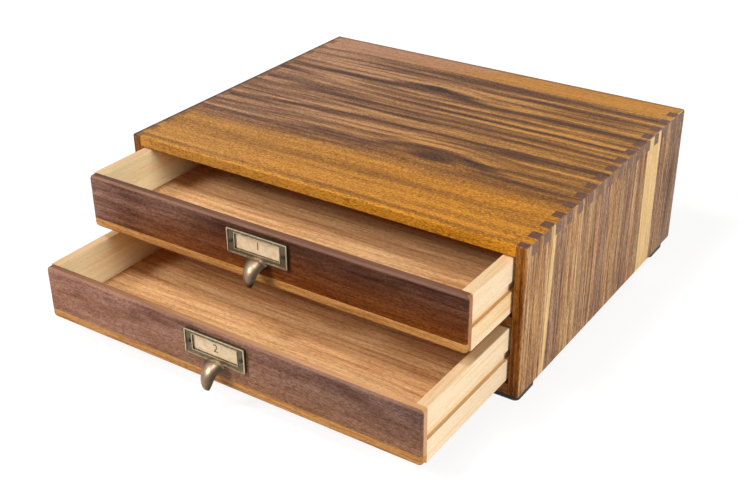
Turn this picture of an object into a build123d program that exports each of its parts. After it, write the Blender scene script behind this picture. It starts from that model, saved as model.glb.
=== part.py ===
from build123d import *
import os

# Desktop unit with two drawers. Lengths are in millimetres, +Z is up and the drawers open towards -Y.
# The numbers below drive everything else. Names ending in _share or _shares are plain ratios.

# Case boards
case_width = 330.0
case_depth = 270.0
case_height = 116.0
top_thickness = 8.5
side_thickness = 8.0
bottom_thickness = 9.0
shelf_thickness = 7.5
back_thickness = 5.0
case_edge_radius = 1.6
opening_edge_radius = 0.6

# Finger joint between the top and the two sides
finger_count = 16
finger_pitch = 16.75
finger_width = 8.4
front_finger_width = 6.2
finger_fit = 0.05

# Pads under the corners
pad_length = 26.0
pad_thickness = 3.0
pad_corner_radius = 4.0
pad_edge_radius = 0.8
pad_edge_inset = 0.4
pad_back_inset = 13.0

# Wooden runners on the inside of the case
runner_height = 6.4
runner_front_setback = 6.5
runner_back_setback = 12.0
runner_edge_radius = 0.8

# Drawer boxes
drawer_side_gap = 1.5
drawer_bottom_gap = 2.0
drawer_top_gap = 1.0
drawer_back_gap = 4.0
drawer_board = 8.0
drawer_edge_radius = 0.8
groove_depth = 2.4
groove_height = 7.4
runner_depth_fit = 0.5
floor_thickness = 4.0
floor_above_edge = 5.0
floor_groove_depth = 3.0
floor_fit = 0.1

# Drawer fronts
front_thickness = 5.5
front_strip_height = 7.4
front_edge_radius = 2.4
front_corner_radius = 3.2

# Label frame with its finger hook
plate_width = 50.0
plate_height = 18.5
plate_thickness = 1.6
plate_corner_radius = 0.8
plate_below_top = 4.2
upper_plate_shift = -2.0
lower_plate_shift = -0.4
rim_width = 0.8
rim_height = 0.6
side_border = 6.4
top_border = 3.1
bottom_border = 4.2
lip_width = 0.6
lip_height = 0.35
card_overlap = 1.2
card_thickness = 0.5
card_fit = 0.1
pin_hole_radius = 1.0
pin_shank_radius = 0.7
pin_head_radius = 1.5
pin_head_height = 0.8
pin_head_round_share = 0.6
hook_reach = 13.8
hook_drop = 15.4
hook_root_height = 2.0
hook_width = 18.0
hook_wall = 2.4
hook_rim = 0.9
hook_bulge_share = 0.18

# Stations along the hook: reach, drop and width as shares of the sizes above, the wall as a share
# of its full thickness, then the direction that the hook runs in there, outwards and down.
hook_shares = (
    (0.11, 0.00, 1.00, 1.00, 0.97, 0.24),
    (0.36, 0.05, 0.88, 1.00, 0.92, 0.40),
    (0.59, 0.17, 0.77, 1.00, 0.76, 0.65),
    (0.81, 0.36, 0.66, 1.00, 0.55, 0.83),
    (0.95, 0.60, 0.57, 1.00, 0.27, 0.96),
    (0.998, 0.82, 0.45, 0.92, -0.08, 1.00),
    (0.93, 1.00, 0.28, 0.60, -0.42, 0.91),
)

# How far each drawer stands open
upper_opening = 56.0
lower_opening = 106.0

# Heights and half widths worked out from the sizes above
half_width = case_width / 2
inner_half = half_width - side_thickness
case_low = pad_thickness
top_low = case_height - top_thickness
floor_top = case_low + bottom_thickness
bay_height = (top_low - floor_top - shelf_thickness) / 2
shelf_low = floor_top + bay_height
shelf_top = shelf_low + shelf_thickness
back_front = case_depth - back_thickness
drawer_half = inner_half - drawer_side_gap
drawer_height = bay_height - drawer_bottom_gap - drawer_top_gap
drawer_length = back_front - drawer_back_gap
middle_y = (case_depth - lower_opening - hook_reach) / 2


def block(x_span, y_span, z_span):
    """A box between two limits on each axis."""
    size = [high - low for low, high in (x_span, y_span, z_span)]
    centre = [(low + high) / 2 for low, high in (x_span, y_span, z_span)]
    return Pos(*centre) * Box(*size)


def save(name, shape):
    """Move a piece from the case's front edge to the shared frame and write it."""
    export_step(Pos(0, -middle_y, 0) * shape, "parts/" + name + ".step")


os.makedirs("parts", exist_ok=True)

# The outside of the case: a box with every edge eased, which trims the boards that meet there.
case_block = block((-half_width, half_width), (0, case_depth), (case_low, case_height))
case_shape = fillet(case_block.edges(), case_edge_radius)

# Finger spans along the depth, from the front. The one at the front corner is narrower.
finger_ends = [front_finger_width + number * finger_pitch for number in range(finger_count)]
finger_spans = [(max(0, end - finger_width), end) for end in finger_ends]

# Top board, notched at both ends for the fingers of the sides. Its lower front edge is eased.
top = block((-half_width, half_width), (0, case_depth), (top_low, case_height))
front_edges = top.edges().filter_by(Axis.X).group_by(Axis.Y)[0]
top = fillet(front_edges.sort_by(Axis.Z)[0], opening_edge_radius)
for side in (-1, 1):
    ends = sorted((side * inner_half, side * half_width))
    for start, end in finger_spans:
        cut = (start - finger_fit, end + finger_fit)
        top -= block(ends, cut, (top_low, case_height))
save("case_top", top & case_shape)

# Side boards, each with fingers that come up through the top.
for name, side in (("left", -1), ("right", 1)):
    ends = sorted((side * inner_half, side * half_width))
    board = block(ends, (0, case_depth), (case_low, top_low))
    front_edges = board.edges().filter_by(Axis.Z).group_by(Axis.Y)[0].sort_by(Axis.X)
    board = fillet(front_edges[-1 if side < 0 else 0], opening_edge_radius)
    for span in finger_spans:
        board += block(ends, span, (top_low, case_height))
    save("case_" + name + "_side", board & case_shape)

# Bottom board, shelf and back panel, all held between the sides.
inside = (-inner_half, inner_half)
bottom = block(inside, (0, back_front), (case_low, floor_top))
front_edges = bottom.edges().filter_by(Axis.X).group_by(Axis.Y)[0]
bottom = fillet(front_edges.sort_by(Axis.Z)[-1], opening_edge_radius)
save("case_bottom", bottom & case_shape)
shelf = block(inside, (0, back_front), (shelf_low, shelf_top))
front_edges = shelf.edges().filter_by(Axis.X).group_by(Axis.Y)[0]
save("case_shelf", fillet(front_edges, opening_edge_radius))
back = block(inside, (back_front, case_depth), (case_low, top_low))
save("case_back", back & case_shape)

# A pad under each corner. The front two line up with the front edge, the back two sit further in.
pad_reach = half_width - pad_edge_inset
pad_rows = (("front", pad_edge_inset), ("back", case_depth - pad_back_inset - pad_length))
for row, start in pad_rows:
    for name, side in (("left", -1), ("right", 1)):
        ends = sorted((side * (pad_reach - pad_length), side * pad_reach))
        pad = block(ends, (start, start + pad_length), (0, pad_thickness))
        pad = fillet(pad.edges().filter_by(Axis.Z), pad_corner_radius)
        pad = fillet(pad.edges().group_by(Axis.Z)[0], pad_edge_radius)
        save("pad_" + row + "_" + name, pad)

bays = (
    ("lower", floor_top, lower_opening, lower_plate_shift),
    ("upper", shelf_top, upper_opening, upper_plate_shift),
)
for bay, low, opening, plate_shift in bays:
    # A runner on each side of the bay, which the grooves in the drawer's sides slide on.
    edge = low + drawer_bottom_gap
    groove_middle = edge + drawer_height / 2
    runner_z = (groove_middle - runner_height / 2, groove_middle + runner_height / 2)
    runner_y = (runner_front_setback, back_front - runner_back_setback)
    runner_reach = drawer_half - groove_depth + runner_depth_fit
    for name, side in (("left", -1), ("right", 1)):
        runner = block(sorted((side * runner_reach, side * inner_half)), runner_y, runner_z)
        tip = runner.edges().filter_by(Axis.Z).sort_by(Axis.X)
        tip = tip[:2] if side > 0 else tip[-2:]
        save("runner_" + bay + "_" + name, fillet(tip, runner_edge_radius))

    # Drawer front in two pieces, a dark board with a paler strip under it, eased as one.
    face_y = -opening
    rear_y = face_y + front_thickness
    end_y = face_y + drawer_length
    top_z = edge + drawer_height
    wide = (-drawer_half, drawer_half)
    front_block = block(wide, (face_y, rear_y), (edge, top_z))
    front_block = fillet(front_block.edges().filter_by(Axis.Y), front_corner_radius)
    front_shape = fillet(front_block.edges().group_by(Axis.Y)[0], front_edge_radius)
    split_z = edge + front_strip_height
    save(bay + "_front", front_shape & block(wide, (face_y, rear_y), (split_z, top_z)))
    save(bay + "_front_strip", front_shape & block(wide, (face_y, rear_y), (edge, split_z)))

    # Drawer sides, grooved outside for the runner and inside for the floor.
    floor_z = (edge + floor_above_edge, edge + floor_above_edge + floor_thickness)
    floor_slot = (floor_z[0] - floor_fit, floor_z[1] + floor_fit)
    groove_z = (groove_middle - groove_height / 2, groove_middle + groove_height / 2)
    box_inner = drawer_half - drawer_board
    slot_reach = box_inner + floor_groove_depth
    for name, side in (("left", -1), ("right", 1)):
        ends = sorted((side * box_inner, side * drawer_half))
        board = block(ends, (rear_y, end_y), (edge, top_z))
        board = fillet(board.edges().filter_by(Axis.Y), drawer_edge_radius)
        groove = sorted((side * (drawer_half - groove_depth), side * drawer_half))
        board -= block(groove, (rear_y, end_y), groove_z)
        slot = sorted((side * box_inner, side * slot_reach))
        board -= block(slot, (rear_y, end_y), floor_slot)
        save(bay + "_" + name + "_side", board)

    # Drawer floor, held in the side grooves, and the back standing on it.
    floor_half = slot_reach - floor_fit
    save(bay + "_floor", block((-floor_half, floor_half), (rear_y, end_y), floor_z))
    rear = block((-box_inner, box_inner), (end_y - drawer_board, end_y), (floor_z[1], top_z))
    rear = fillet(rear.edges().group_by(Axis.Z)[-1].filter_by(Axis.X), drawer_edge_radius)
    save(bay + "_back", rear)

    # Label frame: a plate with a raised rim, a window with a lip and a pocket behind for the card.
    plate_z = (top_z - plate_below_top - plate_height, top_z - plate_below_top)
    plate_half = plate_width / 2
    plate_y = (face_y - plate_thickness, face_y)
    plate = block((-plate_half, plate_half), plate_y, plate_z)
    plate = fillet(plate.edges().filter_by(Axis.Y), plate_corner_radius)
    rim_y = (plate_y[0] - rim_height, plate_y[0])
    rim = block((-plate_half, plate_half), rim_y, plate_z)
    rim = fillet(rim.edges().filter_by(Axis.Y), plate_corner_radius)
    rim_half = plate_half - rim_width
    rim -= block((-rim_half, rim_half), rim_y, (plate_z[0] + rim_width, plate_z[1] - rim_width))
    window_half = plate_half - side_border
    window_z = (plate_z[0] + bottom_border, plate_z[1] - top_border)
    lip_half = window_half + lip_width
    lip_y = (plate_y[0] - lip_height, plate_y[0])
    lip = block((-lip_half, lip_half), lip_y, (window_z[0] - lip_width, window_z[1] + lip_width))

    # Finger hook: a curved tongue that leaves the plate's lower border and turns down. Each section is
    # a shallow trough, bulging outwards, with a wall of even thickness and a narrow rim at each side.
    root_z = plate_z[0] + hook_root_height
    sections = []
    for reach, drop, width, wall, out, down in hook_shares:
        spot = (0, face_y - reach * hook_reach, root_z - drop * (hook_drop + hook_root_height))
        station = Plane(origin=spot, x_dir=(1, 0, 0), z_dir=(0, -out, -down))
        half = width * hook_width / 2
        sag = 2 * half * hook_bulge_share
        rim_step = wall * hook_rim
        outer = ThreePointArc((-half, -sag), (0, 0), (half, -sag))
        inner_half_width = half - rim_step
        inner_low = -sag - rim_step
        middle = (0, -wall * hook_wall)
        inner = ThreePointArc((inner_half_width, inner_low), middle, (-inner_half_width, inner_low))
        rims = Line(outer @ 1, inner @ 0) + Line(inner @ 1, outer @ 0)
        sections.append(station * make_face(outer + inner + rims))
    hook = loft(sections)
    hook -= block((-plate_half, plate_half), (face_y, rear_y), (edge, top_z))
    pull = plate + rim + lip + hook

    # The window, the card's pocket and the pin holes are cut last, so they go through the lip as well.
    through_y = (rim_y[0], face_y)
    pull -= block((-window_half, window_half), through_y, window_z)
    card_half = window_half + card_overlap
    card_z = (window_z[0] - card_overlap, window_z[1] + card_overlap)
    pocket_y = (face_y - card_thickness - card_fit, face_y)
    pocket_half = card_half + card_fit
    pocket_z = (card_z[0] - card_fit, card_z[1] + card_fit)
    pull -= block((-pocket_half, pocket_half), pocket_y, pocket_z)
    pin_z = (plate_z[0] + plate_z[1]) / 2
    for name, side in (("left", -1), ("right", 1)):
        spot = (side * (plate_half - side_border / 2), face_y, pin_z)
        along = Plane(origin=spot, x_dir=(1, 0, 0), z_dir=(0, -1, 0))
        pull -= along * extrude(Circle(pin_hole_radius), plate_thickness)
        shank = along * extrude(Circle(pin_shank_radius), plate_thickness)
        seat = along.offset(plate_thickness)
        head = extrude(seat * Circle(pin_head_radius), pin_head_height)
        head = fillet(head.edges().group_by(Axis.Y)[0], pin_head_round_share * pin_head_height)
        save(bay + "_pin_" + name, Pos(plate_shift, 0, 0) * (shank + head))
    aside = Pos(plate_shift, 0, 0)
    save(bay + "_pull", aside * pull)

    # The card behind the window.
    card = block((-card_half, card_half), (face_y - card_thickness, face_y), card_z)
    save(bay + "_card", aside * card)
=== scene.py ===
"""Looks of a desktop unit with two drawers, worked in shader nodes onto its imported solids."""
import math

import bpy
import numpy as np
from mathutils import Matrix, Vector


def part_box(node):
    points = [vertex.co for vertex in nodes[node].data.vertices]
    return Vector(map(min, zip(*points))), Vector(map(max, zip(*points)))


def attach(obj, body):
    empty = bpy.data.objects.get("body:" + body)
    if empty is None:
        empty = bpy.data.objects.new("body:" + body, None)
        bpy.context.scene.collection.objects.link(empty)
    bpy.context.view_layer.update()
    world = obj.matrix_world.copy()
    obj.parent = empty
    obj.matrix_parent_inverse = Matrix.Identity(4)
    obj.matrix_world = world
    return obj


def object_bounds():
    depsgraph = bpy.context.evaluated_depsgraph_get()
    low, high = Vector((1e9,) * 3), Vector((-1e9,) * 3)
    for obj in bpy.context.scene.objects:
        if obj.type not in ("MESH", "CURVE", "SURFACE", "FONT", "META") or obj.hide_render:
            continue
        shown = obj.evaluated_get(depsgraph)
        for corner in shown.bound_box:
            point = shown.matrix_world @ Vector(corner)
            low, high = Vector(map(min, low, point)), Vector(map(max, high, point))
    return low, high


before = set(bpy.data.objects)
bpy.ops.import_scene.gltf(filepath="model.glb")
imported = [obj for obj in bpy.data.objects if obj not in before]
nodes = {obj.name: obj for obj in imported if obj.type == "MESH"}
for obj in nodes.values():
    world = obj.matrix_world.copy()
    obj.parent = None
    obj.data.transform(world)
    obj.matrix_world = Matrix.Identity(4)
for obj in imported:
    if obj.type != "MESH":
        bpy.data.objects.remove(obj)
cad_low, cad_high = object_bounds()

# Case sides
# Two boards glued up from upright staves of mixed brown hardwood, planed to 8 mm and oiled.
# Their upper edges are cut into fingers that stand through the top and show end grain there.


def paint(red, green, blue):
    """A screen colour from 0 to 255 as the linear colour that a shader takes."""
    share = np.array([red, green, blue]) / 255
    low = share / 12.92
    high = ((share + 0.055) / 1.055) ** 2.4
    return (*np.where(share <= 0.04045, low, high).tolist(), 1.0)


def put(tree, kind, inputs, **options):
    """Add a shader node, set its options, then set or link its inputs by name or number."""
    node = tree.nodes.new("ShaderNode" + kind)
    for name, value in options.items():
        setattr(node, name, value)
    for key, value in inputs.items():
        if isinstance(value, bpy.types.NodeSocket):
            tree.links.new(value, node.inputs[key])
        else:
            node.inputs[key].default_value = value
    return node


def calc(tree, operation, first, second=0.0):
    """One sum of two numbers, such as ADD or MULTIPLY."""
    return put(tree, "Math", {0: first, 1: second}, operation=operation).outputs[0]


def turn(tree, operation, first, second):
    """One sum of two vectors, such as ADD or MULTIPLY."""
    return put(tree, "VectorMath", {0: first, 1: second}, operation=operation).outputs[0]


def spread(tree, value, low, high, start=0.0, end=1.0, kind="LINEAR"):
    """Stretch low..high to start..end, held at both ends."""
    numbers = {"Value": value, 1: low, 2: high, 3: start, 4: end}
    return put(tree, "MapRange", numbers, interpolation_type=kind).outputs[0]


def mix(tree, share, first, second, kind="MIX"):
    """Lay the second colour over the first by a share."""
    inputs = {0: share, 6: first, 7: second}
    return put(tree, "Mix", inputs, data_type="RGBA", blend_type=kind).outputs[2]


def ramp(tree, value, stops, kind="LINEAR"):
    """A colour ramp with (place, colour) stops in rising order."""
    node = put(tree, "ValToRGB", {0: value})
    node.color_ramp.interpolation = kind
    elements = node.color_ramp.elements
    while len(elements) < len(stops):
        elements.new(1.0)
    for element, (place, colour) in zip(elements, stops):
        element.position = place
        element.color = colour
    return node.outputs[0]


def glaze(tree, share, colour, tone):
    """Multiply a colour by a screen tone, by a share, as a thin glaze does."""
    return mix(tree, share, colour, paint(*tone), "MULTIPLY")


def noise(tree, vector, cells, detail=2.0, roughness=0.5):
    """Soft noise from 0 to 1 with a number of cells to the unit on each axis of the vector."""
    inputs = {
        "Vector": turn(tree, "MULTIPLY", vector, cells),
        "Scale": 1.0,
        "Detail": detail,
        "Roughness": roughness,
    }
    return put(tree, "TexNoise", inputs).outputs[0]


def mottle(tree, vector, cells, detail=2.0, roughness=0.5):
    """Soft noise with the same number of cells to the metre on every axis."""
    return noise(tree, vector, (cells, cells, cells), detail, roughness)


def swing(tree, value, reach):
    """A number from 0 to 1 made to swing about nothing, times a reach."""
    return calc(tree, "MULTIPLY", calc(tree, "SUBTRACT", value, 0.5), reach)


def parts_of(tree, vector):
    """The three numbers of a vector."""
    return put(tree, "SeparateXYZ", {0: vector}).outputs


def joined(tree, first, second, third):
    """A vector from three numbers."""
    return put(tree, "CombineXYZ", {0: first, 1: second, 2: third}).outputs[0]


def node_group(name, inputs, outputs):
    """An empty shader group with the named inputs (kind, value) and outputs (kind)."""
    tree = bpy.data.node_groups.new(name, "ShaderNodeTree")
    for label, (kind, value) in inputs.items():
        socket = tree.interface.new_socket(label, in_out="INPUT", socket_type="NodeSocket" + kind)
        if value is not None:
            socket.default_value = value
    for label, kind in outputs.items():
        tree.interface.new_socket(label, in_out="OUTPUT", socket_type="NodeSocket" + kind)
    return tree, tree.nodes.new("NodeGroupInput").outputs, tree.nodes.new("NodeGroupOutput").inputs


def make_grain():
    """Grain of a board that runs along the X of the vector, in metres.

    Slow noise bends the vector sideways. Noise stretched along the grain is then read on it at
    five widths: broad streaks, growth lines a fifth as wide, flecks, fibres and short dark pores.
    The height is that of raised fibres with the pores sunk between them."""
    inputs = {
        "Vector": ("Vector", None),
        "Streak Width": ("Float", 0.012),
        "Wave": ("Float", 0.006),
        "Seed": ("Float", 0.0),
    }
    outputs = {"Bent": "Vector"}
    for label in ("Streaks", "Lines", "Flecks", "Fibres", "Pores", "Height"):
        outputs[label] = "Float"
    tree, given, taken = node_group("board_grain", inputs, outputs)
    seed = joined(tree, given["Seed"], calc(tree, "MULTIPLY", given["Seed"], 0.37), given["Seed"])
    shifted = turn(tree, "ADD", given["Vector"], seed)
    slow = noise(tree, shifted, (5.0, 15.0, 15.0))
    sway = calc(tree, "MULTIPLY", swing(tree, slow, given["Wave"]), 2.0)
    bend = joined(tree, 0.0, sway, sway)
    tree.links.new(turn(tree, "ADD", given["Vector"], bend), taken["Bent"])
    bent = turn(tree, "ADD", shifted, bend)
    width = given["Streak Width"]
    unit = turn(tree, "DIVIDE", bent, joined(tree, width, width, width))
    figures = {
        "Streaks": noise(tree, unit, (0.025, 1.0, 1.0), detail=3.0, roughness=0.6),
        "Lines": noise(tree, unit, (0.2, 5.0, 5.0), detail=4.0, roughness=0.65),
        "Flecks": noise(tree, bent, (540.0, 880.0, 880.0), detail=3.0, roughness=0.7),
        "Fibres": noise(tree, bent, (60.0, 1400.0, 1400.0), detail=1.0),
    }
    shares = {label: spread(tree, figure, 0.3, 0.7) for label, figure in figures.items()}
    dash = noise(tree, bent, (300.0, 2000.0, 2000.0))
    shares["Pores"] = spread(tree, dash, 0.34, 0.54, 1.0, 0.0)
    sunk = calc(tree, "MULTIPLY", shares["Pores"], 0.8)
    shares["Height"] = calc(tree, "SUBTRACT", shares["Fibres"], sunk)
    for label, share in shares.items():
        tree.links.new(share, taken[label])
    return tree


board_grain = make_grain()


def make_end_grain():
    """Share of a face that looks along the grain, with the speckle of cut fibres on it.

    The share rises as the normal turns from square to the grain axis to lie along it."""
    inputs = {"Vector": ("Vector", None), "Normal": ("Vector", None), "Axis": ("Vector", (1, 0, 0))}
    outputs = {"Share": "Float", "Speckle": "Float"}
    tree, given, taken = node_group("end_grain", inputs, outputs)
    dot = put(tree, "VectorMath", {0: given["Normal"], 1: given["Axis"]}, operation="DOT_PRODUCT")
    along = calc(tree, "ABSOLUTE", dot.outputs["Value"])
    tree.links.new(spread(tree, along, 0.6, 0.85), taken["Share"])
    speckle = mottle(tree, given["Vector"], 900.0)
    tree.links.new(spread(tree, speckle, 0.3, 0.7), taken["Speckle"])
    return tree


end_grain = make_end_grain()


def make_facing():
    """Share of a face that looks towards an axis.

    The dot of the normal and the axis is stretched from nothing at one slope to one at another."""
    inputs = {
        "Normal": ("Vector", None),
        "Axis": ("Vector", (0, 0, 1)),
        "None At": ("Float", 0.0),
        "Full At": ("Float", 1.0),
    }
    tree, given, taken = node_group("facing_share", inputs, {"Share": "Float"})
    dot = put(tree, "VectorMath", {0: given["Normal"], 1: given["Axis"]}, operation="DOT_PRODUCT")
    share = spread(tree, dot.outputs["Value"], given["None At"], given["Full At"])
    tree.links.new(share, taken["Share"])
    return tree


facing_share = make_facing()


def make_shaded_arris():
    """Painted shade along an edge of an upper face, where its rounded arris turns from the light: full
    for the outer third, then fading to a line inside.
    """
    inputs = {
        "Across": ("Float", 0.0),
        "Edge": ("Float", 0.0),
        "Inner": ("Float", 1.0),
        "Upward": ("Float", 1.0),
    }
    tree, given, taken = node_group("shaded_arris", inputs, {"Share": "Float"})
    share = spread(tree, given["Across"], given["Edge"], given["Inner"], 1.5, 0.0)
    tree.links.new(calc(tree, "MULTIPLY", share, given["Upward"]), taken["Share"])
    return tree


shaded_arris = make_shaded_arris()


def start_material(name):
    """A new material with its tree and its Principled shader."""
    material = bpy.data.materials.new(name)
    material.use_nodes = True
    shader = material.node_tree.nodes["Principled BSDF"]
    return material, material.node_tree, shader


def wear(material, *names):
    """Give CAD pieces a finish."""
    for name in names:
        slots = nodes[name].data.materials
        slots.clear()
        slots.append(material)


def object_spot(tree):
    """Where a point lies on the object, in metres."""
    return put(tree, "TexCoord", {}).outputs["Object"]


def face_normal(tree):
    """Which way a face looks."""
    return put(tree, "NewGeometry", {}).outputs["Normal"]


def place_grain(tree, axis, width, wave, seed):
    """Board grain along X, Y or Z of the object, and the vector it was read on."""
    spot = object_spot(tree)
    x, y, z = parts_of(tree, spot)
    order = {"X": (x, y, z), "Y": (y, x, z), "Z": (z, y, x)}[axis]
    inputs = {"Vector": joined(tree, *order), "Streak Width": width, "Wave": wave, "Seed": seed}
    return put(tree, "Group", inputs, node_tree=board_grain).outputs, spot


def place_ends(tree, spot, axis):
    """End grain on the faces that look along the board."""
    along = [float(axis == letter) for letter in "XYZ"]
    inputs = {"Vector": spot, "Normal": face_normal(tree), "Axis": along}
    return put(tree, "Group", inputs, node_tree=end_grain).outputs


upward = (0.0, 0.0, 1.0)
frontward = (0.0, -1.0, 0.0)


def facing(tree, axis, none_at, full_at):
    """One on faces that look towards an axis, falling to nothing between two slopes."""
    inputs = {"Normal": face_normal(tree), "Axis": axis, "None At": none_at, "Full At": full_at}
    return put(tree, "Group", inputs, node_tree=facing_share).outputs["Share"]


def arris_shade(tree, colour, across, edge, inner):
    """Painted shade: darken an upper face from its edge to a line inside, where its rounded arris turns
    from the light.
    """
    inputs = {"Across": across, "Edge": edge, "Inner": inner, "Upward": facing(tree, upward, 0.2, 0.6)}
    share = put(tree, "Group", inputs, node_tree=shaded_arris).outputs["Share"]
    return glaze(tree, share, colour, (104, 84, 66))


def raise_skin(tree, shader, height, strength, distance):
    """Fine relief from a height that changes over the surface."""
    bump = put(tree, "Bump", {"Strength": strength, "Distance": distance, "Height": height})
    tree.links.new(bump.outputs[0], shader.inputs["Normal"])


def oil(tree, shader, colour, figure, gloss, relief):
    """Close a wood finish: colour, satin oil that is duller in the pores, and raised grain."""
    tree.links.new(colour, shader.inputs["Base Color"])
    dull = spread(tree, figure["Pores"], 0.0, 1.0, gloss, gloss + 0.15)
    tree.links.new(dull, shader.inputs["Roughness"])
    shader.inputs["Specular IOR Level"].default_value = 0.09
    raise_skin(tree, shader, figure["Height"], relief, distance=0.0004)


case_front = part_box("case_right_side")[0].y
case_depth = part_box("case_right_side")[1].y - case_front
case_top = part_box("case_top")[1].z
left_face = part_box("case_left_side")[0].x
# Width of the painted shade along the left and back edges.
arris_shade_width = 0.0045

# Staves from the front edge: where each ends, in millimetres, and its tone.
tan_stave = (219, 179, 127)
cream_stave = (240, 202, 142)
straw_stave = (224, 186, 136)
plum_stave = (190, 155, 124)
brown_stave = (199, 163, 120)
rose_stave = (222, 181, 136)
grey_stave = (172, 142, 114)
dark_stave = (128, 94, 68)
right_staves = (
    (4, rose_stave),
    (33, tan_stave),
    (36, straw_stave),
    (42, cream_stave),
    (56, plum_stave),
    (57.5, dark_stave),
    (77, tan_stave),
    (82, straw_stave),
    (95, brown_stave),
    (98, straw_stave),
    (105, brown_stave),
    (106.5, dark_stave),
    (112, rose_stave),
    (129, plum_stave),
    (144, tan_stave),
    (159, brown_stave),
    (172.5, plum_stave),
    (174, dark_stave),
    (180, rose_stave),
    (196, brown_stave),
    (221, cream_stave),
    (231, plum_stave),
    (243, brown_stave),
    (270, grey_stave),
)
left_staves = (
    (22, brown_stave),
    (48, rose_stave),
    (60, plum_stave),
    (86, tan_stave),
    (104, brown_stave),
    (110, cream_stave),
    (142, grey_stave),
    (166, rose_stave),
    (190, plum_stave),
    (222, tan_stave),
    (246, brown_stave),
    (270, grey_stave),
)


def stave_material(name, staves, cut_tones, seed):
    """Upright staves: a stepped ramp of tones over the depth, with lines and pores up the grain.

    The joints near the front lean a little, and the palest staves have an evener grain."""
    material, tree, shader = start_material(name)
    figure, spot = place_grain(tree, "Z", width=0.011, wave=0.0024, seed=seed)
    x, y, z = parts_of(tree, spot)
    joint_slope = 0.05
    near_front = spread(tree, y, case_front + 0.04, case_front + 0.07, 1.0, 0.0)
    lean = calc(tree, "MULTIPLY", calc(tree, "SUBTRACT", case_top, z), joint_slope)
    lean = calc(tree, "MULTIPLY", lean, near_front)
    joint_fray = 0.0016
    frayed = swing(tree, figure["Lines"], joint_fray)
    bent_y = calc(tree, "ADD", calc(tree, "ADD", parts_of(tree, figure["Bent"])[1], lean), frayed)
    depth = calc(tree, "DIVIDE", calc(tree, "SUBTRACT", bent_y, case_front), case_depth)
    starts = [0.0] + [end / (1000 * case_depth) for end, tone in staves]
    stops = [(start, paint(*tone)) for start, (end, tone) in zip(starts, staves)]
    colour = ramp(tree, depth, stops, "CONSTANT")
    even = spread(tree, parts_of(tree, colour)[1], 0.45, 0.58, 1.0, 0.3)
    streak = calc(tree, "MULTIPLY", spread(tree, figure["Streaks"], 0.0, 1.0, 0.0, 0.7), even)
    colour = glaze(tree, streak, colour, (212, 186, 158))
    line = calc(tree, "MULTIPLY", spread(tree, figure["Lines"], 0.15, 0.75, 1.0, 0.0), even)
    colour = glaze(tree, line, colour, (152, 116, 82))
    pore = calc(tree, "MULTIPLY", figure["Pores"], calc(tree, "MULTIPLY", even, 0.7))
    colour = glaze(tree, pore, colour, (140, 102, 68))
    # Painted shade: the faces that look to the front are darkened and warmed.
    front_edge_shade = facing(tree, frontward, 0.6, 0.85)
    colour = glaze(tree, front_edge_shade, colour, (210, 174, 104))
    ends = place_ends(tree, spot, "Z")
    dark_cut, light_cut = cut_tones
    cut = mix(tree, ends["Speckle"], paint(*dark_cut), paint(*light_cut))
    colour = mix(tree, ends["Share"], colour, cut)
    # Painted shade on the upper faces along the outer left edge.
    colour = arris_shade(tree, colour, x, left_face, left_face + arris_shade_width)
    oil(tree, shader, colour, figure, gloss=0.45, relief=0.3)
    return material


right_cut = ((74, 46, 32), (116, 78, 54))
left_cut = ((104, 68, 42), (146, 102, 62))
wear(stave_material("right_side_staves", right_staves, right_cut, seed=2.0), "case_right_side")
wear(stave_material("left_side_staves", left_staves, left_cut, seed=7.0), "case_left_side")

# Case bottom, shelf and back
# Plain oiled boards held between the sides, with their grain across the unit.
# The shelf parts the two drawers, and the thin back panel closes the case.


def plain_board(name, axis, tones, width, wave, seed, gloss=0.45, dark_ends=True):
    """One board: light to dark by the streaks, with growth lines and pores laid over it."""
    material, tree, shader = start_material(name)
    figure, spot = place_grain(tree, axis, width, wave, seed)
    light, dark = tones
    colour = mix(tree, figure["Streaks"], paint(*light), paint(*dark))
    line = spread(tree, figure["Lines"], 0.0, 0.8, 0.85, 0.0)
    colour = glaze(tree, line, colour, (192, 156, 124))
    pore = calc(tree, "MULTIPLY", figure["Pores"], 0.5)
    colour = glaze(tree, pore, colour, (160, 122, 90))
    if dark_ends:
        ends = place_ends(tree, spot, axis)
        cut = mix(tree, ends["Speckle"], paint(150, 118, 94), paint(215, 188, 160))
        colour = mix(tree, ends["Share"], colour, mix(tree, 1.0, colour, cut, "MULTIPLY"))
    oil(tree, shader, colour, figure, gloss, relief=0.25)
    return material


case_tones = ((186, 128, 66), (136, 88, 46))
case_board = plain_board("case_boards", "X", case_tones, width=0.010, wave=0.004, seed=3.0)
wear(case_board, "case_bottom", "case_shelf", "case_back")

# Case top
# A wide figured board with dark wavy streaks and two knots, and a narrower plain strip glued on
# behind it. Its ends are notched for the fingers of the sides, and it is oiled to a satin gloss.


def make_soft_spot():
    """A soft spot: one at its place, falling to nothing at its reach on each axis."""
    inputs = {"Vector": ("Vector", None), "Place": ("Vector", None), "Reach": ("Vector", (1, 1, 1))}
    tree, given, taken = node_group("soft_spot", inputs, {"Share": "Float"})
    gap = turn(tree, "SUBTRACT", given["Vector"], given["Place"])
    away = put(tree, "VectorMath", {0: turn(tree, "DIVIDE", gap, given["Reach"])}, operation="LENGTH")
    share = spread(tree, away.outputs["Value"], 0.0, 1.0, 1.0, 0.0, "SMOOTHERSTEP")
    tree.links.new(share, taken["Share"])
    return tree


soft_spot = make_soft_spot()


def place_spot(tree, vector, across, back, reach):
    """A soft spot on the top, from its place across, its place back from the front and its reach."""
    place = (across, case_front + back, case_top)
    inputs = {"Vector": vector, "Place": place, "Reach": (*reach, 1.0)}
    return put(tree, "Group", inputs, node_tree=soft_spot).outputs["Share"]


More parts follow.
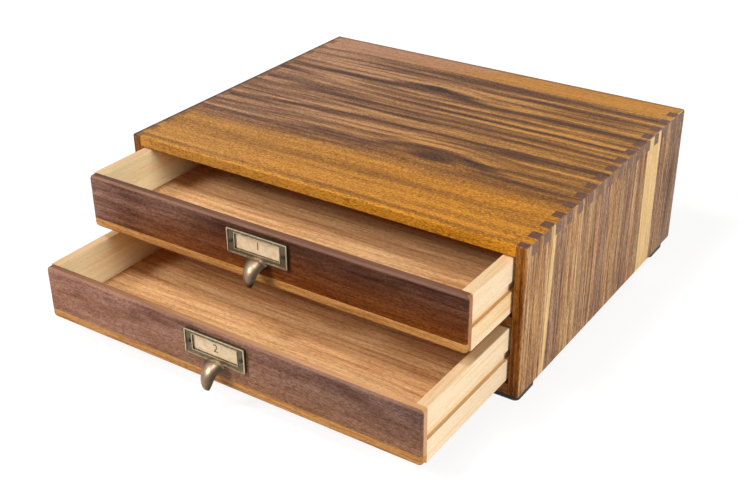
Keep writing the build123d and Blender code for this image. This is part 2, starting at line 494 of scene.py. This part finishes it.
# Each dark streak: its middle and half width as shares of the depth from the front, then how dark
# it is at the left end and at the right end.
top_streaks = (
    (0.018, 0.012, 0.40, 0.55),
    (0.150, 0.050, 0.36, 0.40),
    (0.300, 0.028, 0.62, 0.80),
    (0.362, 0.010, 0.40, 0.25),
    (0.395, 0.014, 0.35, 0.60),
    (0.455, 0.018, 0.75, 0.95),
    (0.520, 0.008, 0.40, 0.50),
    (0.552, 0.016, 0.80, 0.60),
    (0.585, 0.010, 0.62, 0.60),
    (0.622, 0.010, 0.20, 0.75),
    (0.668, 0.010, 0.35, 0.50),
    (0.715, 0.026, 0.85, 1.00),
    (0.768, 0.014, 0.25, 0.75),
    (0.828, 0.014, 0.28, 0.70),
    (0.872, 0.024, 0.00, 0.85),
)


def streak_stops(column):
    """Ramp stops for the placed streaks, read from one end of the board.

    Where two streaks stand apart, a light line is left between them."""
    stops = [(0.0, (0, 0, 0, 1))]
    for streak in top_streaks:
        middle, half = streak[:2]
        dark = streak[column]
        stops.append((middle, (dark, dark, dark, 1)))
        stops.append((middle + half, (0, 0, 0, 1)))
    return stops


def top_material():
    """Dark streaks placed over the depth, lifted by two knots and sagging at the left, on gold."""
    material, tree, shader = start_material("figured_top")
    figure, spot = place_grain(tree, "X", width=0.026, wave=0.007, seed=11.0)
    front_knot_x = 0.045
    back_knot_x = -0.020
    front_knot = place_spot(tree, spot, front_knot_x, 0.092, (0.075, 0.040))
    back_knot = place_spot(tree, spot, back_knot_x, 0.206, (0.070, 0.030))
    sag = place_spot(tree, spot, left_face, 0.105, (0.150, 0.080))
    front_rise = 0.016
    back_rise = 0.010
    left_drop = 0.012
    lift = calc(tree, "MULTIPLY", front_knot, front_rise)
    lift = calc(tree, "ADD", lift, calc(tree, "MULTIPLY", back_knot, back_rise))
    lift = calc(tree, "SUBTRACT", lift, calc(tree, "MULTIPLY", sag, left_drop))
    x, y = parts_of(tree, spot)[:2]
    bent_y = calc(tree, "SUBTRACT", parts_of(tree, figure["Bent"])[1], lift)
    depth = calc(tree, "DIVIDE", calc(tree, "SUBTRACT", bent_y, case_front), case_depth)
    across = spread(tree, x, -0.11, 0.11)
    left_end = ramp(tree, depth, streak_stops(2))
    right_end = ramp(tree, depth, streak_stops(3))
    placed = mix(tree, across, left_end, right_end)
    figured = spread(tree, depth, 0.22, 0.30, 0.45, 1.0)
    grained = calc(tree, "ADD", swing(tree, figure["Streaks"], 0.4), swing(tree, figure["Lines"], -0.8))
    grained = calc(tree, "MULTIPLY", grained, figured)
    flecked = spread(tree, depth, 0.22, 0.30, 0.68, 0.36)
    grained = calc(tree, "ADD", grained, swing(tree, figure["Flecks"], flecked))
    streak_dark = 0.7
    dark = calc(tree, "ADD", calc(tree, "MULTIPLY", placed, streak_dark), grained)
    front_core = place_spot(tree, spot, front_knot_x, 0.085, (0.030, 0.010))
    back_core = place_spot(tree, spot, back_knot_x, 0.203, (0.016, 0.009))
    core_dark = 0.65
    cores = calc(tree, "MULTIPLY", calc(tree, "ADD", front_core, back_core), core_dark)
    dark = calc(tree, "ADD", dark, cores)
    ground = spread(tree, depth, 0.03, 0.22, 0.09, 0.17)
    dark = calc(tree, "ADD", dark, ground)
    gold_tones = ((0.0, paint(221, 157, 57)), (0.35, paint(161, 109, 37)), (0.8, paint(92, 55, 18)))
    brown_tones = (
        (0.0, paint(206, 156, 92)),
        (0.28, paint(152, 109, 62)),
        (0.6, paint(96, 60, 30)),
        (1.0, paint(50, 30, 14)),
    )
    gold = ramp(tree, dark, gold_tones)
    brown = ramp(tree, dark, brown_tones)
    colour = mix(tree, spread(tree, depth, 0.20, 0.29), gold, brown)

    # The strip glued on behind: its own plain ground, in two lengths that meet at a slant.
    strip_start = 0.2425
    behind = calc(tree, "SUBTRACT", calc(tree, "SUBTRACT", y, case_front), strip_start)
    strip_share = spread(tree, behind, 0.0, 0.0006)
    slant_x = -0.034
    slant_run = 2.4
    slant = calc(tree, "SUBTRACT", x, calc(tree, "MULTIPLY", behind, slant_run))
    slant = calc(tree, "SUBTRACT", slant, slant_x)
    right_length = spread(tree, slant, -0.0005, 0.0005)
    strip_tone = mix(tree, right_length, paint(208, 160, 103), paint(208, 155, 76))
    strip_line = spread(tree, figure["Lines"], 0.0, 1.0, 0.6, 0.0)
    strip_tone = glaze(tree, strip_line, strip_tone, (206, 170, 130))
    seam = spread(tree, calc(tree, "ABSOLUTE", slant), 0.0004, 0.0012, 0.5, 0.0)
    strip_tone = mix(tree, seam, strip_tone, paint(110, 74, 44))
    colour = mix(tree, strip_share, colour, strip_tone)

    # The ground is rosier at the left end and more golden at the right, partly its own tone and partly
    # a painted sheen at the left. The left tint lifts the blue.
    tint_and_sheen = mix(tree, across, paint(234, 233, 282), paint(253, 239, 182))
    colour = mix(tree, 1.0, colour, tint_and_sheen, "MULTIPLY")
    pore = calc(tree, "MULTIPLY", figure["Pores"], 0.55)
    colour = glaze(tree, pore, colour, (150, 108, 66))
    ends = place_ends(tree, spot, "X")
    cut = mix(tree, ends["Speckle"], paint(92, 68, 56), paint(140, 110, 90))
    colour = mix(tree, ends["Share"], colour, cut)
    # Painted shade along the left and back edges of the upper face.
    colour = arris_shade(tree, colour, x, left_face, left_face + arris_shade_width)
    back_edge = case_front + case_depth
    colour = arris_shade(tree, colour, y, back_edge, back_edge - arris_shade_width)
    oil(tree, shader, colour, figure, gloss=0.42, relief=0.25)
    return material


wear(top_material(), "case_top")

# Pads
# Four black rubber pads stuck under the corners, so that the unit stands clear of the desk.
# Moulded with a fine matt skin.


def pad_material():
    """Matt black rubber with a faint mottled skin."""
    material, tree, shader = start_material("black_rubber")
    spot = object_spot(tree)
    skin = mottle(tree, spot, 700.0, detail=3.0)
    tree.links.new(mix(tree, skin, paint(22, 21, 21), paint(44, 42, 40)), shader.inputs["Base Color"])
    tree.links.new(spread(tree, skin, 0.3, 0.7, 0.6, 0.8), shader.inputs["Roughness"])
    raise_skin(tree, shader, skin, strength=0.3, distance=0.0003)
    return material


wear(pad_material(), "pad_front_left", "pad_front_right", "pad_back_left", "pad_back_right")

# Runners
# Slim hardwood strips glued and pinned to the inside of the case, two to each bay.
# The grooves in the drawers' sides slide on them, so they stay unoiled.
runner_tones = ((150, 108, 70), (112, 78, 50))
runner_wood = plain_board(
    "runner_strips", "Y", runner_tones, width=0.006, wave=0.002, seed=5.0, gloss=0.55
)
runner_names = [f"runner_{bay}_{side}" for bay in ("lower", "upper") for side in ("left", "right")]
wear(runner_wood, *runner_names)

# Drawer sides and backs
# Pale softwood boards, planed and left almost white, with a few honey-coloured growth streaks.
# The sides are grooved outside for the runners and inside for the floor.


def pale_material(name, axis, ground, honey_share, upper_edge_shade_tone, seed):
    """Cream ground with honey streaks along the grain, faint growth lines and painted shade on the
    upper edge.
    """
    material, tree, shader = start_material(name)
    figure, spot = place_grain(tree, axis, width=0.013, wave=0.003, seed=seed)
    honey = spread(tree, figure["Streaks"], 0.5, 0.85, 0.0, honey_share)
    colour = mix(tree, honey, paint(*ground), paint(234, 190, 120))
    line = spread(tree, figure["Lines"], 0.0, 0.55, 0.5, 0.0)
    colour = glaze(tree, line, colour, (240, 206, 152))
    pore = calc(tree, "MULTIPLY", figure["Pores"], 0.2)
    colour = glaze(tree, pore, colour, (226, 196, 150))
    ends = place_ends(tree, spot, axis)
    end_share = calc(tree, "MULTIPLY", ends["Share"], 0.6)
    colour = glaze(tree, end_share, colour, (224, 188, 136))
    # Painted shade: faces that look up are darkened.
    upper_edge_shade = facing(tree, upward, 0.5, 0.8)
    colour = glaze(tree, upper_edge_shade, colour, upper_edge_shade_tone)
    oil(tree, shader, colour, figure, gloss=0.55, relief=0.15)
    return material


cream_ground = (242, 219, 184)
straw_ground = (255, 238, 194)
right_board = pale_material(
    "pale_right_sides", "Y", cream_ground, honey_share=0.9, upper_edge_shade_tone=(244, 232, 218), seed=4.0
)
left_board = pale_material(
    "pale_left_sides", "Y", straw_ground, honey_share=0.25, upper_edge_shade_tone=(216, 196, 188), seed=4.0
)
back_board = pale_material(
    "pale_drawer_backs", "X", cream_ground, honey_share=0.6, upper_edge_shade_tone=(230, 214, 200), seed=9.0
)
for drawer in ("upper", "lower"):
    wear(right_board, drawer + "_right_side")
    wear(left_board, drawer + "_left_side")
    wear(back_board, drawer + "_back")

# Drawer floors
# Thin brown panels slid into grooves in the drawer sides, grain across the drawer.
# Oiled lightly, with soft darker streaks.
floor_tones = ((254, 211, 154), (233, 178, 122))
floor_board = plain_board(
    "drawer_floors", "X", floor_tones, width=0.014, wave=0.006, seed=6.0, gloss=0.5
)
wear(floor_board, "upper_floor", "lower_floor")

# Drawer fronts
# A dark red-brown board with quiet straight grain, glued over a paler orange strip.
# The two are planed flush, eased along their edges as one and oiled.
rightward = (1.0, 0.0, 0.0)


def front_material(name, left_tones_and_sheen, right_tones, fade_end, warm, edge_tones, lined, seed):
    """Red-brown to plum by broad streaks, warmer low down, with a painted highlight on the eased
    upper edge.

    The face is lighter and greyer at the left end, partly its own wood and partly a painted sheen.
    The upper edge runs from a left tone to a right tone, and the right end shows pale sapwood."""
    material, tree, shader = start_material(name)
    figure, spot = place_grain(tree, "X", width=0.012, wave=0.008, seed=seed)
    x = parts_of(tree, spot)[0]
    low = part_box(name + "_front")[0]
    left_end = spread(tree, x, low.x, fade_end)
    # Painted sheen: the face is lighter and greyer towards the left end, partly its own wood.
    left_wood_and_sheen = mix(tree, figure["Streaks"], paint(*left_tones_and_sheen[0]), paint(*left_tones_and_sheen[1]))
    right_wood = mix(tree, figure["Streaks"], paint(*right_tones[0]), paint(*right_tones[1]))
    colour = mix(tree, left_end, left_wood_and_sheen, right_wood)
    blotch = noise(tree, spot, (22.0, 22.0, 70.0), detail=3.0, roughness=0.6)
    blotched = spread(tree, blotch, 0.42, 0.66, 0.0, 0.75)
    colour = glaze(tree, blotched, colour, (176, 150, 140))
    bent_z = parts_of(tree, figure["Bent"])[2]
    warm_height = 0.026
    lower_half = spread(tree, bent_z, low.z, low.z + warm_height, 0.85, 0.0)
    warm_end = spread(tree, left_end, 0.1, 0.6, 0.25, 1.0)
    colour = mix(tree, calc(tree, "MULTIPLY", lower_half, warm_end), colour, paint(*warm))
    line = spread(tree, figure["Lines"], 0.0, 0.8, lined, 0.0)
    colour = glaze(tree, line, colour, (176, 136, 112))
    fleck = spread(tree, figure["Flecks"], 0.2, 0.8, 0.5, 0.0)
    colour = glaze(tree, fleck, colour, (176, 148, 130))
    pore = calc(tree, "MULTIPLY", figure["Pores"], 0.6)
    colour = glaze(tree, pore, colour, (136, 94, 70))
    # Painted highlight: faces that look up are lightened.
    arris_highlight = calc(tree, "MULTIPLY", facing(tree, upward, 0.1, 0.5), 0.35)
    colour = mix(tree, arris_highlight, colour, paint(170, 128, 104))
    front_face = facing(tree, frontward, 0.15, 0.45)
    left_edge, right_edge, right_end = edge_tones
    edge_wood = mix(tree, left_end, paint(*left_edge), paint(*right_edge))
    edge_wood = mix(tree, facing(tree, rightward, 0.3, 0.7), edge_wood, paint(*right_end))
    edge_wood = glaze(tree, line, edge_wood, (220, 192, 168))
    colour = mix(tree, front_face, edge_wood, colour)
    oil(tree, shader, colour, figure, gloss=0.4, relief=0.25)
    return material


upper_wood = front_material(
    "upper",
    left_tones_and_sheen=((189, 150, 132), (121, 88, 73)),
    right_tones=((127, 86, 66), (91, 57, 41)),
    fade_end=-0.03,
    warm=(152, 86, 24),
    edge_tones=((88, 58, 46), (116, 80, 60), (176, 124, 84)),
    lined=0.9,
    seed=1.0,
)
lower_wood = front_material(
    "lower",
    left_tones_and_sheen=((197, 147, 121), (168, 128, 110)),
    right_tones=((146, 114, 99), (140, 113, 101)),
    fade_end=0.12,
    warm=(172, 126, 92),
    edge_tones=((122, 82, 58), (218, 166, 118), (208, 158, 114)),
    lined=0.55,
    seed=8.0,
)
wear(upper_wood, "upper_front")
wear(lower_wood, "lower_front")
strip_tones = ((222, 166, 98), (184, 130, 70))
strip_board = plain_board(
    "front_strips", "X", strip_tones, width=0.008, wave=0.002, seed=2.5, gloss=0.4, dark_ends=False
)
wear(strip_board, "upper_front_strip", "lower_front_strip")

# Label frames
# Stamped brass plates with a raised rim, a window for a card and a curled finger hook, made in
# one piece. Aged dark, then rubbed, so that the rims and the back of the hook have worn bright.
# The bright rims also carry a painted highlight, and painted shade darkens the lower rim and the
# hook's right flank.


def brass_material(name, face_y, card_low):
    """Dark patina, broken by noise, worn to bright brass on what stands out from the plate; the bright
    rims are partly a painted highlight.

    The hook is bronze on its rubbed left and painted shade keeps it dark on its right, and painted
    shade makes the lower rim duller."""
    material, tree, shader = start_material(name)
    spot = object_spot(tree)
    y, z = parts_of(tree, spot)[1:]
    out = calc(tree, "SUBTRACT", face_y, y)
    stain = mottle(tree, spot, 420.0, detail=4.0, roughness=0.65)
    plate_out = 0.0017
    rim_out = 0.0020
    hook_out = 0.0040
    rim = spread(tree, out, plate_out, rim_out)
    ridge = spread(tree, out, 0.003, 0.007, 0.0, 0.9)
    patina = mix(tree, stain, paint(80, 70, 56), paint(130, 114, 92))
    bright = mix(tree, stain, paint(180, 162, 128), paint(236, 220, 186))
    bronze = mix(tree, stain, paint(110, 88, 72), paint(180, 152, 126))
    right_flank_shade = mix(tree, stain, paint(36, 29, 24), paint(72, 60, 46))
    worn = mix(tree, ridge, patina, bronze)
    hook = spread(tree, out, 0.0026, hook_out)
    # Painted shade: the hook's right flank is darkened.
    shaded_flank = calc(tree, "MULTIPLY", facing(tree, rightward, -0.1, 0.45), hook)
    worn = mix(tree, calc(tree, "MULTIPLY", shaded_flank, 0.85), worn, right_flank_shade)
    # The rims are painted bright: worn brass, partly a painted highlight.
    rubbed = calc(tree, "MULTIPLY", rim, spread(tree, out, 0.0024, hook_out, 1.0, 0.0))
    rubbed = calc(tree, "MULTIPLY", rubbed, spread(tree, stain, 0.2, 0.6, 0.5, 1.0))
    # Painted shade dulls the lower rim.
    lower_rim_shade = spread(tree, z, card_low - 0.0026, card_low - 0.0018, 0.25, 1.0)
    rubbed = calc(tree, "MULTIPLY", rubbed, lower_rim_shade)
    tree.links.new(mix(tree, rubbed, worn, bright), shader.inputs["Base Color"])
    shader.inputs["Metallic"].default_value = 1.0
    tree.links.new(spread(tree, stain, 0.3, 0.7, 0.44, 0.30), shader.inputs["Roughness"])
    raise_skin(tree, shader, stain, strength=0.15, distance=0.0002)
    return material


for drawer in ("upper", "lower"):
    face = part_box(drawer + "_front")[0].y
    card_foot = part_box(drawer + "_card")[0].z
    wear(brass_material(drawer + "_aged_brass", face, card_foot), drawer + "_pull")

# Cards
# Slips of aged cream paper behind the windows, slid in from above, foxed by handling. Each has
# the number of its drawer printed on it.


def card_material():
    """Cream paper with soft foxing and fine fibres."""
    material, tree, shader = start_material("aged_paper")
    spot = object_spot(tree)
    fox = mottle(tree, spot, 160.0, detail=4.0, roughness=0.6)
    fibre = mottle(tree, spot, 2600.0)
    colour = mix(tree, spread(tree, fox, 0.35, 0.7), paint(238, 213, 178), paint(216, 182, 144))
    fibrous = spread(tree, fibre, 0.3, 0.7, 0.0, 0.25)
    colour = glaze(tree, fibrous, colour, (200, 170, 126))
    tree.links.new(colour, shader.inputs["Base Color"])
    tree.links.new(spread(tree, fibre, 0.3, 0.7, 0.75, 0.9), shader.inputs["Roughness"])
    raise_skin(tree, shader, fibre, strength=0.1, distance=0.0001)
    return material


wear(card_material(), "upper_card", "lower_card")


def ink_material():
    """Brown-black ink, thinner where the paper took less of it."""
    material, tree, shader = start_material("card_ink")
    spot = object_spot(tree)
    bite = mottle(tree, spot, 1800.0, detail=3.0)
    colour = mix(tree, spread(tree, bite, 0.4, 0.7), paint(58, 40, 28), paint(112, 84, 58))
    tree.links.new(colour, shader.inputs["Base Color"])
    shader.inputs["Roughness"].default_value = 0.8
    return material


card_ink = ink_material()
ink_half = 0.00003
numeral_height = 0.0085


def numeral(name, letters, card):
    """Raised-ink figures, centred on the front of a card and sunk halfway into it."""
    curve = bpy.data.curves.new(name, "FONT")
    curve.body = letters
    curve.size = numeral_height
    curve.align_x = "CENTER"
    curve.align_y = "CENTER"
    curve.extrude = ink_half
    written = bpy.data.objects.new(name + "_curve", curve)
    mesh = bpy.data.meshes.new_from_object(written)
    bpy.data.objects.remove(written)
    low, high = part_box(card)
    place = Vector(((low.x + high.x) / 2, low.y, (low.z + high.z) / 2))
    mesh.transform(Matrix.Translation(place) @ Matrix.Rotation(math.radians(90), 4, "X"))
    mesh.materials.clear()
    mesh.materials.append(card_ink)
    piece = bpy.data.objects.new(name, mesh)
    bpy.context.scene.collection.objects.link(piece)
    return piece


for drawer, letters in (("upper", "1"), ("lower", "2")):
    printed = numeral(drawer + "_numeral", letters, drawer + "_card")
    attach(printed, drawer + "_drawer")

# Pins
# Two small round-headed pins of brass, blackened with age, to each label frame.
# They are driven through the plate into the drawer front.


def pin_material():
    """Blackened brass with lighter rubbed spots."""
    material, tree, shader = start_material("blackened_pins")
    spot = object_spot(tree)
    stain = mottle(tree, spot, 1200.0, detail=3.0)
    tree.links.new(mix(tree, stain, paint(40, 36, 30), paint(92, 82, 64)), shader.inputs["Base Color"])
    shader.inputs["Metallic"].default_value = 1.0
    tree.links.new(spread(tree, stain, 0.3, 0.7, 0.5, 0.35), shader.inputs["Roughness"])
    return material


pin_names = [f"{drawer}_pin_{side}" for drawer in ("upper", "lower") for side in ("left", "right")]
wear(pin_material(), *pin_names)

# Studio
# A white floor that keeps the unit's shadow, a plain white surround and four soft lamps. The camera
# stands to the right of the front and a little above, as the photograph was taken.
scene = bpy.context.scene
scene.view_settings.view_transform = "Standard"


def seen_share(tree):
    """One where the camera, a reflection or a refraction sees the surface, else nothing."""
    path = put(tree, "LightPath", {}).outputs
    seen = calc(tree, "MAXIMUM", path["Is Camera Ray"], path["Is Glossy Ray"])
    return calc(tree, "MAXIMUM", seen, path["Is Transmission Ray"])


def flat_sheet(name, half, height):
    """A level square about the origin, its corners in turn from the front left."""
    sides = half * np.array([(-1, -1), (1, -1), (1, 1), (-1, 1)])
    corners = np.column_stack((sides, np.full(4, height)))
    mesh = bpy.data.meshes.new(name)
    mesh.from_pydata(corners.tolist(), [], [(0, 1, 2, 3)])
    sheet = bpy.data.objects.new(name, mesh)
    scene.collection.objects.link(sheet)
    return sheet


floor_white, floor_tree, floor_shader = start_material("studio_floor")
floor_seen = seen_share(floor_tree)
floor_grey = spread(floor_tree, floor_seen, 0.0, 1.0, 0.75, 0.20)
floor_tree.links.new(floor_grey, floor_shader.inputs["Base Color"])
floor_shader.inputs["Roughness"].default_value = 0.9
floor_shader.inputs["Specular IOR Level"].default_value = 0.0
floor_shader.inputs["Emission Color"].default_value = (1.0, 1.0, 1.0, 1.0)
floor_spot = object_spot(floor_tree)
from_middle = put(floor_tree, "VectorMath", {0: floor_spot}, operation="LENGTH").outputs["Value"]
near_unit = 0.6
far_off = 2.4
floor_white_share = spread(floor_tree, from_middle, near_unit, far_off, 0.86, 1.0)
floor_glow = calc(floor_tree, "MULTIPLY", floor_seen, floor_white_share)
floor_tree.links.new(floor_glow, floor_shader.inputs["Emission Strength"])
floor_half = 6.0
studio_floor = flat_sheet("studio_floor", floor_half, cad_low.z)
studio_floor.data.materials.append(floor_white)

surround = bpy.data.worlds.new("white_surround")
surround.use_nodes = True
world_tree = surround.node_tree
world_light = 0.17
sky = world_tree.nodes["Background"]
sky.inputs["Color"].default_value = (1.0, 1.0, 1.0, 1.0)
sky_strength = spread(world_tree, seen_share(world_tree), 0.0, 1.0, world_light, 1.0)
world_tree.links.new(sky_strength, sky.inputs["Strength"])
scene.world = surround


def soft_lamp(name, place, aim, size, power):
    """A square soft lamp that looks at a point."""
    data = bpy.data.lights.new(name, "AREA")
    data.size = size
    data.energy = power
    lamp = bpy.data.objects.new(name, data)
    lamp.location = place
    lamp.rotation_euler = (Vector(aim) - Vector(place)).to_track_quat("-Z", "Y").to_euler()
    scene.collection.objects.link(lamp)


soft_lamp("top_softbox", (-0.35, -0.70, 1.65), (0.0, -0.05, 0.06), size=0.35, power=13.5)
soft_lamp("front_softbox", (-1.10, -1.50, 1.35), (0.0, -0.1, 0.06), size=0.6, power=33.5)
soft_lamp("back_softbox", (0.25, 1.95, 0.45), (0.0, 0.1, 0.06), size=0.8, power=14.0)
soft_lamp("right_softbox", (1.75, -0.20, 0.52), (0.0, 0.0, 0.06), size=0.45, power=18.5)

camera_data = bpy.data.cameras.new("camera")
camera_data.sensor_width = 36.0
focal_pixels = 1163.396
image_width = 747
camera_data.lens = camera_data.sensor_width * focal_pixels / image_width
camera_data.clip_start = 0.01
camera = bpy.data.objects.new("camera", camera_data)
azimuth = math.radians(33.70)
elevation = math.radians(28.897)
roll = math.radians(-0.374)
level = math.cos(elevation)
forward = Vector((-math.sin(azimuth) * level, math.cos(azimuth) * level, -math.sin(elevation)))
right = forward.cross(Vector((0, 0, 1))).normalized()
up = right.cross(forward)
rolled_right = math.cos(roll) * right + math.sin(roll) * up
rolled_up = math.cos(roll) * up - math.sin(roll) * right
turned = Matrix((rolled_right, rolled_up, -forward)).transposed().to_4x4()
camera_place = (0.432135, case_front - 0.570677, 0.459874)
camera.matrix_world = Matrix.Translation(camera_place) @ turned
scene.collection.objects.link(camera)
scene.camera = camera
